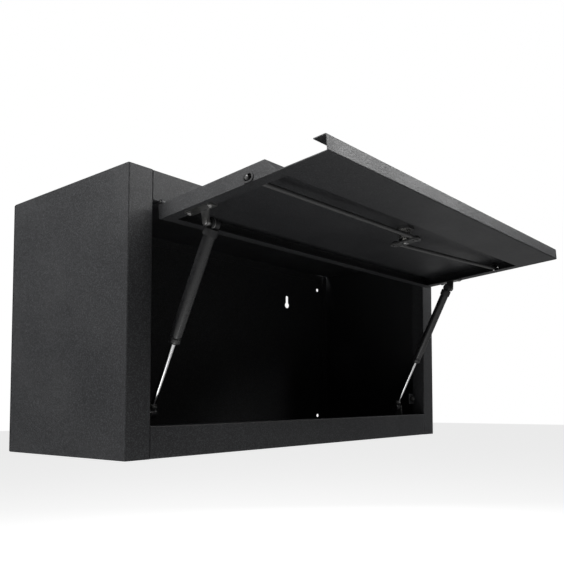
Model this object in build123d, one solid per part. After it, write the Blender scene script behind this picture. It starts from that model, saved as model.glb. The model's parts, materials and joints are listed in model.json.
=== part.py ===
from build123d import *
import math
import os

# Wall cabinet with a lift-up door, held open by two gas struts.
# Millimetres. The origin is the centre of the back face, where the cabinet meets the wall.
# +X runs to the right as seen from the front, +Y into the wall, +Z up.

# Cabinet body
WIDTH = 680
DEPTH = 281
HEIGHT = 350
SHEET = 1.0
BEND = 0.8
STILE_WIDTH = 33
JAMB_DEPTH = 26
BOTTOM_RAIL = 39.5
TOP_RAIL = 38.05
RAIL_RETURN = 20
RAIL_LIP = 8
REAR_FLANGE = 15
SEAM_GAP = 0.1
BUMPER_HEIGHT = 70
BUMPER_RADIUS = 4.5
BUMPER_GAP = 0.2
TAB_WIDTH = 16
TAB_HEIGHT = 20

# Back panel
WALL_HOLE_RADIUS = 3.5
WALL_HOLE_X = 309
WALL_HOLE_Z = 140
KEYHOLE_X = 212.5
KEYHOLE_HEAD_RADIUS = 6
KEYHOLE_SLOT_RADIUS = 3.5
KEYHOLE_HEAD_HEIGHT = 270
KEYHOLE_SLOT_HEIGHT = 286.5
PANEL_CORNER = 2
CUT = 5

# Door
SIDE_GAP = 3
BOTTOM_GAP = 2
DOOR_DEPTH = 18
HEM_WIDTH = 16
TOP_HEM = 14
RECESS_HEIGHT = 85
FLAT_HEIGHT = 68.5
LIP_HEIGHT = 17.5
OPEN_ANGLE = 94.6

# Continuous hinge
LEAF_THICKNESS = 1.2
LEAF_GAP = 0.3
LEAF_DEPTH = 16
LEAF_FRONT = 1.2
KNUCKLE_RADIUS = 3.4
PIN_RADIUS = 1.95
KNUCKLE_BORE = 2.0
KNUCKLE_PITCH = 24
KNUCKLE_COUNT = 25
KNUCKLE_END_GAP = 0.3
HINGE_FORWARD = 5

# Gas struts
STRUT_INSET = 64
LOWER_PIVOT_DEPTH = 46
LOWER_PIVOT_HEIGHT = 54
UPPER_PIVOT_DEPTH = 33.5
UPPER_PIVOT_HEIGHT = 244.5
BALL_RADIUS = 5
SOCKET_RADIUS = 7
SLEEVE_RADIUS = 8.8
SLEEVE_BOTTOM = 15.5
SLEEVE_TOP = 5.5
ROD_RADIUS = 3
TUBE_RADIUS = 7.5
TUBE_WALL = 1.0
TUBE_LENGTH = 146
TUBE_TOP_OFFSET = 10
RUNNING_FIT = 0.05
ROD_START = 7
SOCKET_NECK = 5
SOCKET_END = 9.5
LOCK_NUT_RADIUS = 5.77
LOCK_NUT_THICKNESS = 3
GUIDE_LENGTH = 5
SEAL_LENGTH = 4
PISTON_LENGTH = 8
PISTON_CLEARANCE = 0.8
TUBE_MOUTH = 4.2
TUBE_ROLL = 1.6
TUBE_CAP = 1.5
EAR_THICKNESS = 2
EAR_GAP = 10
UPPER_EAR_RADIUS = 5.3
LOWER_EAR_RADIUS = 6.5
LOWER_EAR_GAP = 9
PLATE_INSET = 41
PLATE_CORNER = 4
PLATE_BOTTOM = 224
PLATE_TOP = 270
PLATE_SCREW_INSET = 46.5
PLATE_SCREW_HEIGHTS = 265, 228.5
PLATE_SCREW_LENGTH = 3.5
BRACKET_THICKNESS = 2
BRACKET_INSET = 80
BRACKET_DEPTHS = 30, 64
BRACKET_CORNER = 5
BRACKET_SCREW_INSET = 68
BRACKET_SCREW_DEPTHS = 38, 56
STUD_SHANK = 3
STUD_NECK = 2.6
STUD_COLLAR = 4.5
COLLAR_THICKNESS = 2.2
PEENED_RADIUS = 4.5
PEENED_HEIGHT = 1.8

# Lock
LOCK_HEIGHT = 154.5
ARM_RADIUS = 17.5
ARM_WIDTH = 16
CAM_DEPTH = 21
CAM_THICKNESS = 2
EYE_DEPTH = 18.6
EYE_THICKNESS = 2.2
EYE_RADIUS = 6
LOCK_ROD_RADIUS = 3
ROD_GUIDE_DEPTH = 11.8
ROD_SLOT_DEPTH = 12.05
ROD_TIP_STAND = 1.6
ROD_SWING = 1.6
STRIKE_DEPTH = 12.15
STRIKE_RADIUS = 4
BARREL_RADIUS = 9.4
BARREL_LENGTH = 18.4
FLANGE_RADIUS = 11.5
FLANGE_THICKNESS = 1.6
PLUG_RADIUS = 6.5
PLUG_PROUD = 1.9
KEYWAY_WIDTH = 1.4
KEYWAY_HEIGHT = 8.4
KEYWAY_DEPTH = 6
NUT_RADIUS = 14
NUT_THICKNESS = 3.5
SQUARE = 6
EYE_PIN_RADIUS = 2.5
CAM_SCREW_RADIUS = 2
STRAP_LENGTH = 14
STRAP_WIDTH = 7
SLOT_LENGTH = 15
SLOT_WIDTH = 9.6
GUIDE_RIM = 0.8
GUIDE_TAIL = 2

# Planes and heights that follow from the sizes above
FRONT = -DEPTH
FLOOR = -HEIGHT / 2
ROOF = HEIGHT / 2
BACK_SHEET = -SHEET
HALF = WIDTH / 2
OPENING_HALF = HALF - STILE_WIDTH
OPENING_BOTTOM = FLOOR + BOTTOM_RAIL
OPENING_TOP = ROOF - TOP_RAIL
DOOR_HALF = OPENING_HALF - SIDE_GAP
DOOR_BOTTOM = OPENING_BOTTOM + BOTTOM_GAP
HINGE_Y = FRONT - HINGE_FORWARD
HINGE_Z = OPENING_TOP - LEAF_THICKNESS - LEAF_GAP / 2
DOOR_TOP = HINGE_Z - LEAF_GAP / 2 - LEAF_THICKNESS
STRUT_X = HALF - STRUT_INSET
EAR_FACE = STRUT_X + EAR_GAP

SCREW_SHANK = 2.0
SCREW_HEAD_RADIUS = 3.4
SCREW_HEAD_HEIGHT = 1.9
HINGE_AXIS = Axis((0, HINGE_Y, HINGE_Z), (1, 0, 0))
LEFT_RIGHT = Plane.YZ


def behind(depth):
    """Y of a point this far behind the front face."""
    return FRONT + depth


def above(height):
    """Z of a point this far above the underside."""
    return FLOOR + height


def block(x, y, z):
    """Box between three (low, high) pairs."""
    size = [high - low for low, high in (x, y, z)]
    centre = [(high + low) / 2 for low, high in (x, y, z)]
    return Pos(*centre) * Box(*size)


def bar(start, end, radius):
    """Round bar between two points."""
    start, end = Vector(*start), Vector(*end)
    along = end - start
    base = Align.CENTER, Align.CENTER, Align.MIN
    return Plane(origin=start, z_dir=along) * Cylinder(radius, along.length, align=base)


def folded(points, thickness=SHEET):
    """Section of a bent sheet: one face follows the points, the thickness lies to their left."""
    radii = []
    for (x0, y0), (x1, y1), (x2, y2) in zip(points, points[1:], points[2:]):
        turn = (x1 - x0) * (y2 - y1) - (y1 - y0) * (x2 - x1)
        radii.append(BEND + thickness if turn > 0 else BEND)
    path = FilletPolyline(*points, radius=radii)
    return make_face(offset(path, amount=thickness, side=Side.LEFT))


def extrude_across(face, half_width):
    """Extrude a (Y, Z) section across the width, centred on X = 0."""
    section = Plane(origin=(-half_width, 0, 0), x_dir=(0, 1, 0), z_dir=(1, 0, 0)) * face
    return extrude(section, 2 * half_width)


def plate_yz(x, face):
    """Extrude a (Y, Z) outline between the two X values."""
    low, high = x
    outline = Plane(origin=(low, 0, 0), x_dir=(0, 1, 0), z_dir=(1, 0, 0)) * face
    return extrude(outline, high - low)


def slot_along_x(x, y, z, length, width):
    """Slot-shaped bar along X, long in Z, centred on the given Y and Z."""
    section = Pos(y, z) * Rot(0, 0, 90) * SlotOverall(length, width)
    return plate_yz(x, section)


def dome_head(centre, direction, radius, height):
    """Low round head that stands on a surface."""
    head = Cylinder(radius, height, align=(Align.CENTER, Align.CENTER, Align.MIN))
    rim = head.edges().filter_by(GeomType.CIRCLE).sort_by(Axis.Z)[-1]
    head = fillet(rim, min(height, radius) * 0.7)
    return Plane(origin=centre, z_dir=direction) * head


def pan_screw(surface, direction, shank_length):
    """Pan-head screw with a cross recess; the head stands on the surface."""
    base = Align.CENTER, Align.CENTER, Align.MIN
    head = Cylinder(SCREW_HEAD_RADIUS, SCREW_HEAD_HEIGHT, align=base)
    rim = head.edges().filter_by(GeomType.CIRCLE).sort_by(Axis.Z)[-1]
    head = fillet(rim, 1.1)
    for angle in (0, 90):
        head -= Rot(0, 0, angle) * Pos(0, 0, SCREW_HEAD_HEIGHT) * Box(3.8, 0.8, 2.2)
    shank = Cylinder(SCREW_SHANK, shank_length, align=(Align.CENTER, Align.CENTER, Align.MAX))
    return Plane(origin=surface, z_dir=direction) * (head + shank)


def both_sides(shape):
    """The shape and its mirror image about the middle of the cabinet."""
    return [shape, mirror(shape, about=LEFT_RIGHT)]


def group(solids):
    """Separate solids that share one node."""
    return Compound(children=[solid for item in solids for solid in item.solids()])


def opened(shape):
    """Turn a shape modelled on the closed door to the open rest position."""
    return shape.rotate(HINGE_AXIS, -OPEN_ANGLE)


def save(name, shape):
    """Write one node."""
    solids = list(shape.solids())
    result = solids[0] if len(solids) == 1 else Compound(children=solids)
    result.label = name
    export_step(result, f"parts/{name}.step")


def save_pair(name, left_shape):
    """Write a left node and its mirror image as the right node."""
    save(f"{name}_left", left_shape)
    save(f"{name}_right", mirror(left_shape, about=LEFT_RIGHT))


# Cabinet shell

def side_panel():
    """Left side with its stile, jamb return, rear flange and the tab that carries a bumper."""
    outline = [
        (-HALF + REAR_FLANGE, BACK_SHEET),
        (-HALF, BACK_SHEET),
        (-HALF, FRONT),
        (-OPENING_HALF, FRONT),
        (-OPENING_HALF, behind(JAMB_DEPTH)),
    ]
    panel = extrude(Pos(0, 0, FLOOR) * folded(outline), HEIGHT)
    inner_x = (-HALF + SHEET, -OPENING_HALF + 1)
    inner_y = (behind(SHEET), 0)
    panel -= block(inner_x, inner_y, (ROOF - SHEET, ROOF + 1))
    panel -= block(inner_x, inner_y, (FLOOR - 1, FLOOR + SHEET))
    tab_x = (-OPENING_HALF - SHEET, -OPENING_HALF + TAB_WIDTH)
    tab_z = (above(BUMPER_HEIGHT - TAB_HEIGHT / 2), above(BUMPER_HEIGHT + TAB_HEIGHT / 2))
    panel += block(tab_x, (behind(JAMB_DEPTH - SHEET), behind(JAMB_DEPTH)), tab_z)
    strike = bar((-OPENING_HALF - CUT, behind(STRIKE_DEPTH), above(LOCK_HEIGHT)),
                 (-OPENING_HALF + CUT, behind(STRIKE_DEPTH), above(LOCK_HEIGHT)), STRIKE_RADIUS)
    return panel - strike


def wing(z):
    """Flat ends of the top or bottom panel, which cover the side panels' channels."""
    x = (OPENING_HALF - SEAM_GAP, HALF - SHEET - SEAM_GAP)
    y = (behind(SHEET + BEND + SEAM_GAP), BACK_SHEET - SHEET - BEND - SEAM_GAP)
    return sum(both_sides(block(x, y, z)), Part())


def top_panel():
    """Top with the top rail folded down in front and its return under the hinge."""
    outline = [
        (BACK_SHEET, ROOF - REAR_FLANGE),
        (BACK_SHEET, ROOF),
        (FRONT, ROOF),
        (FRONT, OPENING_TOP),
        (behind(RAIL_RETURN), OPENING_TOP),
    ]
    panel = extrude_across(folded(outline), OPENING_HALF - SEAM_GAP)
    panel += wing((ROOF - SHEET, ROOF))
    return panel


def bottom_panel():
    """Bottom with the bottom rail folded up in front."""
    rear = behind(RAIL_RETURN + SHEET)
    outline = [
        (rear, OPENING_BOTTOM - RAIL_LIP),
        (rear, OPENING_BOTTOM),
        (FRONT, OPENING_BOTTOM),
        (FRONT, FLOOR),
        (BACK_SHEET, FLOOR),
        (BACK_SHEET, FLOOR + REAR_FLANGE),
    ]
    panel = extrude_across(folded(outline), OPENING_HALF - SEAM_GAP)
    panel += wing((FLOOR, FLOOR + SHEET))
    for x, y in bracket_screw_points():
        for side in (-1, 1):
            panel -= bar((side * x, y, FLOOR - CUT), (side * x, y, FLOOR + CUT), SCREW_SHANK)
    return panel


def back_panel():
    """Back with two keyhole slots and four holes for wall screws."""
    panel = block((-HALF, HALF), (BACK_SHEET, 0), (FLOOR, ROOF))
    panel = fillet(panel.edges().filter_by(Axis.Y), PANEL_CORNER)
    for x in (-WALL_HOLE_X, WALL_HOLE_X):
        for z in (-WALL_HOLE_Z, WALL_HOLE_Z):
            panel -= bar((x, -CUT, z), (x, CUT, z), WALL_HOLE_RADIUS)
    head, top = above(KEYHOLE_HEAD_HEIGHT), above(KEYHOLE_SLOT_HEIGHT)
    for x in (-KEYHOLE_X, KEYHOLE_X):
        panel -= bar((x, -CUT, head), (x, CUT, head), KEYHOLE_HEAD_RADIUS)
        panel -= bar((x, -CUT, top), (x, CUT, top), KEYHOLE_SLOT_RADIUS)
        slot_x = (x - KEYHOLE_SLOT_RADIUS, x + KEYHOLE_SLOT_RADIUS)
        panel -= block(slot_x, (-CUT, CUT), (head, top))
    return panel


def bumper():
    """Rubber bumper that the closed door rests on."""
    base = (-OPENING_HALF + TAB_WIDTH - 7, behind(JAMB_DEPTH - SHEET), above(BUMPER_HEIGHT))
    height = JAMB_DEPTH - SHEET - DOOR_DEPTH - BUMPER_GAP
    return dome_head(base, (0, -1, 0), BUMPER_RADIUS, height)


# Continuous hinge

def knuckles(own):
    """Knuckle rings of one leaf, at the given positions along the hinge."""
    start = -KNUCKLE_PITCH * KNUCKLE_COUNT / 2
    rings = Part()
    for index in own:
        low = start + index * KNUCKLE_PITCH + KNUCKLE_END_GAP
        high = low + KNUCKLE_PITCH - 2 * KNUCKLE_END_GAP
        rings += bar((low, HINGE_Y, HINGE_Z), (high, HINGE_Y, HINGE_Z), KNUCKLE_RADIUS)
    return rings


def hinge_leaf(z, own):
    """One leaf: a flat strip, its knuckles and the webs that join them."""
    half = KNUCKLE_PITCH * KNUCKLE_COUNT / 2
    leaf = block((-half, half), (FRONT - LEAF_FRONT, behind(LEAF_DEPTH)), z)
    leaf += knuckles(own)
    for index in own:
        low = -half + index * KNUCKLE_PITCH + KNUCKLE_END_GAP
        high = low + KNUCKLE_PITCH - 2 * KNUCKLE_END_GAP
        leaf += block((low, high), (HINGE_Y + KNUCKLE_BORE, FRONT), z)
    leaf -= bar((-half - 1, HINGE_Y, HINGE_Z), (half + 1, HINGE_Y, HINGE_Z), KNUCKLE_BORE)
    return leaf


def build_hinge():
    """Both leaves, which are spot-welded in place, and the pin."""
    frame_z = (HINGE_Z + LEAF_GAP / 2, OPENING_TOP)
    door_z = (DOOR_TOP, HINGE_Z - LEAF_GAP / 2)
    save("frame_hinge_leaf", hinge_leaf(frame_z, range(0, KNUCKLE_COUNT, 2)))
    save("door_hinge_leaf", opened(hinge_leaf(door_z, range(1, KNUCKLE_COUNT, 2))))
    half = KNUCKLE_PITCH * KNUCKLE_COUNT / 2
    pin = bar((-half - 1, HINGE_Y, HINGE_Z), (half + 1, HINGE_Y, HINGE_Z), PIN_RADIUS)
    save("hinge_pin", pin)


# Door, modelled closed

def rod_slot(side, x, length, width):
    """Slot in a side flange for its lock rod, between two distances from the flange's outer face."""
    low, high = sorted(side * (DOOR_HALF - distance) for distance in x)
    z = above(LOCK_HEIGHT) + side * ROD_SWING
    return slot_along_x((low, high), behind(ROD_SLOT_DEPTH), z, length, width)


def door_pan():
    """Skin with its folded top, the slanted finger recess and the pull lip."""
    inner, outer = behind(DOOR_DEPTH - SHEET), behind(DOOR_DEPTH)
    outline = [
        (outer, DOOR_TOP - TOP_HEM),
        (outer, DOOR_TOP),
        (FRONT, DOOR_TOP),
        (FRONT, DOOR_BOTTOM + RECESS_HEIGHT),
        (inner, DOOR_BOTTOM + FLAT_HEIGHT),
        (inner, DOOR_BOTTOM + SHEET),
        (behind(SHEET), DOOR_BOTTOM + SHEET),
        (behind(SHEET), DOOR_BOTTOM + LIP_HEIGHT),
    ]
    pan = extrude_across(folded(outline), DOOR_HALF)
    z = above(LOCK_HEIGHT)
    return pan - bar((0, behind(-CUT), z), (0, behind(CUT), z), BARREL_RADIUS + 0.1)


def door_side(pan):
    """Left side of the door, an angle of flange and hem that is welded into the pan.

    Slivers outside the pan's bends are dropped.
    """
    inner, outer = behind(DOOR_DEPTH - SHEET), behind(DOOR_DEPTH)
    recess_top = DOOR_BOTTOM + RECESS_HEIGHT
    flat_top = DOOR_BOTTOM + FLAT_HEIGHT
    flange = Polygon(
        (behind(SHEET / 2), DOOR_TOP - SHEET / 2),
        (behind(SHEET / 2), recess_top),
        (behind(DOOR_DEPTH - SHEET / 2), flat_top),
        (outer, flat_top),
        (outer, DOOR_TOP - SHEET / 2),
        align=None,
    )
    side = plate_yz((-DOOR_HALF, -DOOR_HALF + SHEET), flange)
    side += block((-DOOR_HALF, -DOOR_HALF + HEM_WIDTH), (inner, outer),
                  (flat_top, DOOR_TOP - SHEET / 2))
    for x, y, z in upper_screw_points():
        side -= bar((x, y - CUT, z), (x, y + CUT, z), SCREW_SHANK)
    return (side - pan).solids().sort_by(SortBy.VOLUME)[-1]


def rod_guide(side):
    """Plastic bush that lines the slot in a side flange."""
    rim = 2 * GUIDE_RIM
    guide = rod_slot(side, (0, SHEET), SLOT_LENGTH, SLOT_WIDTH)
    guide += rod_slot(side, (-GUIDE_RIM, 0), SLOT_LENGTH + rim, SLOT_WIDTH + rim)
    guide += rod_slot(side, (SHEET, SHEET + GUIDE_TAIL), SLOT_LENGTH + 3, SLOT_WIDTH + 0.1)
    return guide - rod_slot(side, (-CUT, CUT), 12, 7.3)


# Strut brackets

def upper_screw_points():
    """Screws of the left upper plate, on the closed door."""
    x = -HALF + PLATE_SCREW_INSET
    y = behind(DOOR_DEPTH + EAR_THICKNESS)
    return [(x, y, above(height)) for height in PLATE_SCREW_HEIGHTS]


def upper_pivot_closed():
    """Centre of the left upper ball with the door closed."""
    return Vector(-STRUT_X, behind(UPPER_PIVOT_DEPTH), above(UPPER_PIVOT_HEIGHT))


def upper_plate():
    """Plate on the left hem with an ear that carries the upper ball stud."""
    back = behind(DOOR_DEPTH)
    pivot = upper_pivot_closed()
    plate = block((-HALF + PLATE_INSET, -EAR_FACE), (back, back + EAR_THICKNESS),
                  (above(PLATE_BOTTOM), above(PLATE_TOP)))
    outer_corners = plate.edges().filter_by(Axis.Y).group_by(Axis.X)[0]
    plate = fillet(outer_corners, PLATE_CORNER)
    ear = Polygon((back, pivot.Z + UPPER_EAR_RADIUS + 2), (back, pivot.Z - UPPER_EAR_RADIUS - 2),
                  (pivot.Y, pivot.Z - UPPER_EAR_RADIUS), (pivot.Y, pivot.Z + UPPER_EAR_RADIUS),
                  align=None)
    ear += Pos(pivot.Y, pivot.Z) * Circle(UPPER_EAR_RADIUS)
    plate += plate_yz((-EAR_FACE - EAR_THICKNESS, -EAR_FACE), ear)
    plate -= bar((-HALF, pivot.Y, pivot.Z), (0, pivot.Y, pivot.Z), STUD_SHANK)
    for x, y, z in upper_screw_points():
        plate -= bar((x, y - CUT, z), (x, y + CUT, z), SCREW_SHANK)
    return plate


def upper_stud_end():
    """Riveted end of the upper stud, in the ear's hole."""
    pivot = upper_pivot_closed()
    outer = -EAR_FACE - EAR_THICKNESS
    shank = bar((outer, pivot.Y, pivot.Z), (-EAR_FACE, pivot.Y, pivot.Z), STUD_SHANK)
    peened = dome_head((outer, pivot.Y, pivot.Z), (-1, 0, 0), PEENED_RADIUS, PEENED_HEIGHT)
    return shank + peened


def bracket_screw_points():
    """X and Y of a right-hand lower bracket's screws."""
    return [(HALF - BRACKET_SCREW_INSET, behind(depth)) for depth in BRACKET_SCREW_DEPTHS]


def lower_pivot():
    """Centre of the left lower ball."""
    return Vector(-STRUT_X, behind(LOWER_PIVOT_DEPTH), above(LOWER_PIVOT_HEIGHT))


def lower_bracket():
    """Angle plate on the cabinet floor with an ear for the left lower ball stud."""
    pivot = lower_pivot()
    floor = FLOOR + SHEET
    ear_x = (pivot.X - LOWER_EAR_GAP - EAR_THICKNESS, pivot.X - LOWER_EAR_GAP)
    front, rear = (behind(depth) for depth in BRACKET_DEPTHS)
    bracket = block((ear_x[0], -HALF + BRACKET_INSET), (front, rear),
                    (floor, floor + BRACKET_THICKNESS))
    corners = bracket.edges().filter_by(Axis.Z).group_by(Axis.X)[-1]
    bracket = fillet(corners, BRACKET_CORNER)
    ear = Polygon((front + 6, floor), (rear - 6, floor), (pivot.Y + LOWER_EAR_RADIUS, pivot.Z),
                  (pivot.Y - LOWER_EAR_RADIUS, pivot.Z), align=None)
    ear += Pos(pivot.Y, pivot.Z) * Circle(LOWER_EAR_RADIUS)
    bracket += plate_yz(ear_x, ear)
    bracket -= bar((-HALF, pivot.Y, pivot.Z), (0, pivot.Y, pivot.Z), STUD_SHANK)
    for x, y in bracket_screw_points():
        bracket -= bar((-x, y, FLOOR - CUT), (-x, y, FLOOR + CUT), SCREW_SHANK)
    return bracket


def ball_stud(pivot, ear_inner, shank_end):
    """Ball with a neck and a collar, along X; the shank runs on to shank_end."""
    y, z = pivot.Y, pivot.Z
    stud = Pos(*pivot) * Sphere(BALL_RADIUS)
    stud += bar((ear_inner, y, z), (pivot.X, y, z), STUD_NECK)
    stud += bar((ear_inner, y, z), (ear_inner + COLLAR_THICKNESS, y, z), STUD_COLLAR)
    if shank_end < ear_inner:
        stud += bar((shank_end, y, z), (ear_inner, y, z), STUD_SHANK)
        stud += dome_head((shank_end, y, z), (-1, 0, 0), PEENED_RADIUS, PEENED_HEIGHT)
    return stud


def build_brackets():
    """Plates, ears, studs and screws of both struts."""
    save_pair("upper_plate", opened(upper_plate()))
    save_pair("upper_stud_end", opened(upper_stud_end()))
    screws = []
    for x, y, z in upper_screw_points():
        screws += both_sides(opened(pan_screw((x, y, z), (0, 1, 0), PLATE_SCREW_LENGTH)))
    save("upper_plate_screws", group(screws))

    save_pair("lower_bracket", lower_bracket())
    pivot = lower_pivot()
    ear_inner = pivot.X - LOWER_EAR_GAP
    save_pair("lower_ball_stud", ball_stud(pivot, ear_inner, ear_inner - EAR_THICKNESS))
    screws = []
    seat = FLOOR + SHEET + BRACKET_THICKNESS
    for x, y in bracket_screw_points():
        screws += both_sides(pan_screw((-x, y, seat), (0, 0, 1), seat - FLOOR))
    save("lower_bracket_screws", group(screws))


# Gas struts, modelled along Z from the lower ball and then laid in place

def strut_frame():
    """Plane at the lower ball, with Z along the left strut, and the open pivot distance."""
    lower = lower_pivot()
    upper = upper_pivot_closed()
    along = opened(Vertex(*upper)).center() - lower
    return Plane(origin=lower, x_dir=(1, 0, 0), z_dir=along), along.length


def ring(low, high, outer, inner):
    """Hollow cylinder along Z."""
    return bar((0, 0, low), (0, 0, high), outer) - bar((0, 0, low - 1), (0, 0, high + 1), inner)


def ball_socket(centre, cavity):
    """Barrel across the strut with a ball cavity, open towards the stud."""
    barrel = bar((-5, 0, centre), (5.5, 0, centre), SOCKET_RADIUS)
    rims = barrel.edges().filter_by(GeomType.CIRCLE)
    return fillet(rims, 0.8), Pos(0, 0, centre) * Sphere(cavity) + bar(
        (-9, 0, centre), (0, 0, centre), 3.7)


def build_strut():
    """All pieces of the left strut, saved for both sides."""
    frame, length = strut_frame()
    tube_top = length - TUBE_TOP_OFFSET
    tube_end = tube_top - TUBE_LENGTH
    bore = TUBE_RADIUS - TUBE_WALL

    barrel, cavity = ball_socket(0, BALL_RADIUS + RUNNING_FIT * 2)
    lower = barrel + bar((0, 0, 3), (0, 0, SOCKET_END), SOCKET_NECK) - cavity
    lower -= bar((0, 0, ROD_START), (0, 0, SOCKET_END + CUT), ROD_RADIUS)
    save_pair("lower_socket", frame * lower)

    nut = extrude(Pos(0, 0, SOCKET_END) * RegularPolygon(LOCK_NUT_RADIUS, 6), LOCK_NUT_THICKNESS)
    nut -= bar((0, 0, SOCKET_END - CUT), (0, 0, SOCKET_END + CUT), ROD_RADIUS)
    save_pair("rod_lock_nut", frame * nut)

    guide_end = tube_end + TUBE_WALL + GUIDE_LENGTH
    seal_end = guide_end + SEAL_LENGTH
    piston_low = seal_end + PISTON_CLEARANCE
    piston_high = piston_low + PISTON_LENGTH
    rod = bar((0, 0, ROD_START), (0, 0, piston_high + 1), ROD_RADIUS)
    save_pair("strut_rod", frame * rod)
    piston = ring(piston_low, piston_high, bore - RUNNING_FIT, ROD_RADIUS)
    save_pair("strut_piston", frame * piston)
    inner = ROD_RADIUS + RUNNING_FIT
    save_pair("strut_guide", frame * ring(tube_end + TUBE_WALL, guide_end, bore, inner))
    save_pair("strut_seal", frame * ring(guide_end, seal_end, bore, inner))

    tube = bar((0, 0, tube_end), (0, 0, tube_top), TUBE_RADIUS)
    ends = tube.edges().filter_by(GeomType.CIRCLE).sort_by(Axis.Z)
    tube = fillet(ends[0], TUBE_ROLL)
    tube -= bar((0, 0, tube_end + TUBE_WALL), (0, 0, tube_top - TUBE_CAP), bore)
    tube -= bar((0, 0, tube_end - 1), (0, 0, tube_end + 2), TUBE_MOUTH)
    save_pair("strut_tube", frame * tube)

    barrel, cavity = ball_socket(length, BALL_RADIUS + RUNNING_FIT)
    sleeve = bar((0, 0, length - SLEEVE_BOTTOM), (0, 0, length - SLEEVE_TOP), SLEEVE_RADIUS)
    sleeve = fillet(sleeve.edges().filter_by(GeomType.CIRCLE), 0.8)
    upper = barrel + sleeve - cavity
    upper -= bar((0, 0, length - SLEEVE_BOTTOM - 1), (0, 0, tube_top), TUBE_RADIUS)
    save_pair("upper_socket", frame * upper)

    stud = ball_stud(Vector(0, 0, length), -EAR_GAP + RUNNING_FIT, 0)
    save_pair("upper_ball_stud", frame * stud)


# Lock, modelled on the closed door

def build_lock():
    """Barrel, nut, turning plug, cam, and the two rods."""
    z = above(LOCK_HEIGHT)

    def along_y(low, high, radius):
        return bar((0, behind(low), z), (0, behind(high), z), radius)

    barrel = along_y(-FLANGE_THICKNESS, 0, FLANGE_RADIUS) + along_y(0, BARREL_LENGTH, BARREL_RADIUS)
    front_rim = barrel.edges().filter_by(GeomType.CIRCLE).sort_by(Axis.Y)[0]
    barrel = fillet(front_rim, 1.0)
    barrel -= along_y(-CUT, BARREL_LENGTH + CUT, PLUG_RADIUS + RUNNING_FIT)
    save("lock_barrel", opened(barrel))

    hexagon = Plane.XZ.offset(-behind(SHEET)) * Pos(0, z) * RegularPolygon(NUT_RADIUS, 6)
    nut = extrude(hexagon, -NUT_THICKNESS) - along_y(0, NUT_THICKNESS + CUT, BARREL_RADIUS)
    save("lock_nut", opened(nut))

    cam_top = CAM_DEPTH + CAM_THICKNESS
    half_square = (-SQUARE / 2, SQUARE / 2)
    square_z = (z - SQUARE / 2, z + SQUARE / 2)
    plug = along_y(-PLUG_PROUD, CAM_DEPTH, PLUG_RADIUS)
    plug -= block((-KEYWAY_WIDTH / 2, KEYWAY_WIDTH / 2), (behind(-CUT), behind(KEYWAY_DEPTH)),
                  (z - KEYWAY_HEIGHT / 2, z + KEYWAY_HEIGHT / 2))
    plug += block(half_square, (behind(CAM_DEPTH), behind(cam_top)), square_z)
    plug -= along_y(CAM_DEPTH - CUT, cam_top + CUT, CAM_SCREW_RADIUS)
    save("lock_plug", opened(plug))

    outline = Rot(0, 0, 90) * SlotOverall(2 * ARM_RADIUS + ARM_WIDTH, ARM_WIDTH)
    cam = extrude(Plane.XZ.offset(-behind(CAM_DEPTH)) * Pos(0, z) * outline, -CAM_THICKNESS)
    cam -= block(half_square, (behind(CAM_DEPTH - CUT), behind(cam_top + CUT)), square_z)
    rivet_foot = EYE_DEPTH - 0.2
    rivets = []
    for sign in (-1, 1):
        eye_z = z + sign * ARM_RADIUS
        foot, top = (0, behind(rivet_foot), eye_z), (0, behind(cam_top), eye_z)
        shank = bar(foot, top, EYE_PIN_RADIUS)
        cam -= shank
        rivets.append(shank + dome_head(top, (0, 1, 0), 4, 1.6) + dome_head(foot, (0, -1, 0), 4, 1.3))
    save("lock_cam", opened(cam))
    save("cam_rivets", opened(group(rivets)))
    screw = dome_head((0, behind(cam_top), z), (0, 1, 0), 5, 2.4)
    screw += along_y(CAM_DEPTH - CUT + 1, cam_top, CAM_SCREW_RADIUS)
    save("cam_screw", opened(screw))

    save("lock_rod_left", opened(lock_rod(-1, z - ARM_RADIUS)))
    save("lock_rod_right", opened(lock_rod(1, z + ARM_RADIUS)))


def lock_rod(side, eye_z):
    """Rod from its eye on the cam, out through the slot in a side flange."""
    eye = Vector(0, behind(EYE_DEPTH + EYE_THICKNESS / 2), eye_z)
    guide = Vector(side * (DOOR_HALF - SHEET / 2), behind(ROD_GUIDE_DEPTH), above(LOCK_HEIGHT))
    along = (guide - eye).normalized()
    tip = guide + along * (ROD_TIP_STAND + SHEET / 2)
    rod = bar(eye + along * 11, tip, LOCK_ROD_RADIUS)
    tip_edge = rod.edges().filter_by(GeomType.CIRCLE).sort_by_distance(tip)[0]
    rod = fillet(tip_edge, 1.2)
    low, high = behind(EYE_DEPTH), behind(EYE_DEPTH + EYE_THICKNESS)
    strap_turn = math.degrees(math.atan2(along.Z, along.X))
    strap = Pos(STRAP_LENGTH / 2, 0, 0) * Box(STRAP_LENGTH, EYE_THICKNESS, STRAP_WIDTH)
    rod += Pos(eye.X, (low + high) / 2, eye.Z) * Rot(0, -strap_turn, 0) * strap
    rod += bar((eye.X, low, eye.Z), (eye.X, high, eye.Z), EYE_RADIUS)
    hole = EYE_PIN_RADIUS + RUNNING_FIT
    return rod - bar((eye.X, low - CUT, eye.Z), (eye.X, high + CUT, eye.Z), hole)


def build_cabinet():
    """Shell panels and what is fixed to them."""
    save_pair("side_panel", side_panel())
    save("top_panel", top_panel())
    save("bottom_panel", bottom_panel())
    save("back_panel", back_panel())
    save("door_bumpers", group(both_sides(bumper())))


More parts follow.
